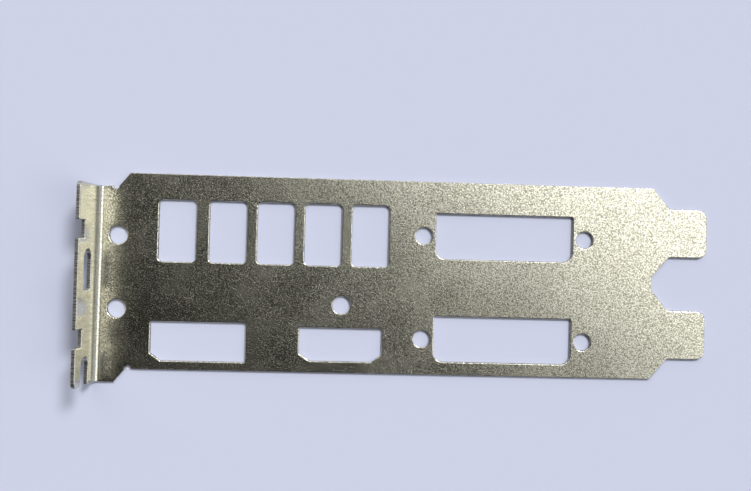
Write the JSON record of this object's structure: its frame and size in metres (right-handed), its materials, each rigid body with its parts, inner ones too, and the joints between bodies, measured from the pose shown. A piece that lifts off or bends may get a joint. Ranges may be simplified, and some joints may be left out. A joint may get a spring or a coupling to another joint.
{
  "type": "expansion card slot bracket",
  "caption": "Folded sheet-steel bracket for a double-width expansion card, with connector openings, vents, a slotted screw flange and locating tongues.",
  "frame": {"origin": "on the plane of the flange's seat (X = 0) and of the plate's back (Z = 0), in line with the middle of the first slot's tongue (Y = 0)", "axes": "+X along the plate from the flange to the tongues, +Y across the plate away from the second slot, +Z out of the plate's outer face, the way the flange stands"},
  "size_m": [0.1208, 0.0408, 0.0114],
  "materials": {
    "plated_steel": "nickel-plated sheet steel with a fine pebbled grain, softly glossy, with a warm grey-green cast"
  },
  "bodies": {
    "root": {"bracket": "plated_steel"}
  },
  "joints": []
}
